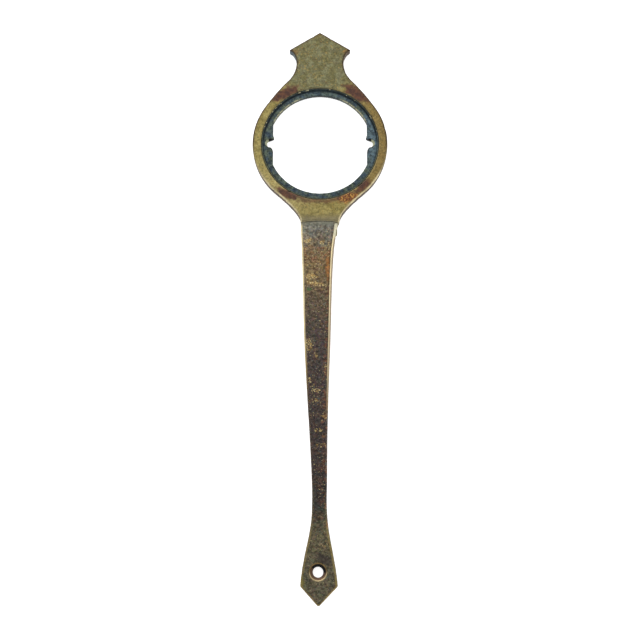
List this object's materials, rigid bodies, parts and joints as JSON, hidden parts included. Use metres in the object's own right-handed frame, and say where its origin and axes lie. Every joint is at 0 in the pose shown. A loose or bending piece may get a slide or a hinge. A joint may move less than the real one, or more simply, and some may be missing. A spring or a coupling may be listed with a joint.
{
  "type": "ring key",
  "caption": "Flat ring key with a pointed tab, a stepped ring with notched flats inside, and a long tapering handle with a hanging hole.",
  "frame": {"origin": "on the axis of the ring, in the plane of the key's back", "axes": "+Y runs from the ring's axis to the pointed tab, away from the handle; +Z is the ring's axis, out of the front face; +X is to the right as the front is seen with the tab up"},
  "size_m": [0.0594, 0.2516, 0.0045],
  "materials": {
    "head_brass": "dull olive brass with tarnish bands",
    "ring_patina": "blue-grey patina",
    "handle_patina": "rough dark brown patina",
    "braze": "dull filler metal",
    "eyelet_brass": "worn brass"
  },
  "bodies": {
    "root": {"head": "head_brass", "lug_ring": "ring_patina", "handle": "handle_patina", "neck_braze": "braze", "hang_eyelet": "eyelet_brass"}
  },
  "joints": []
}
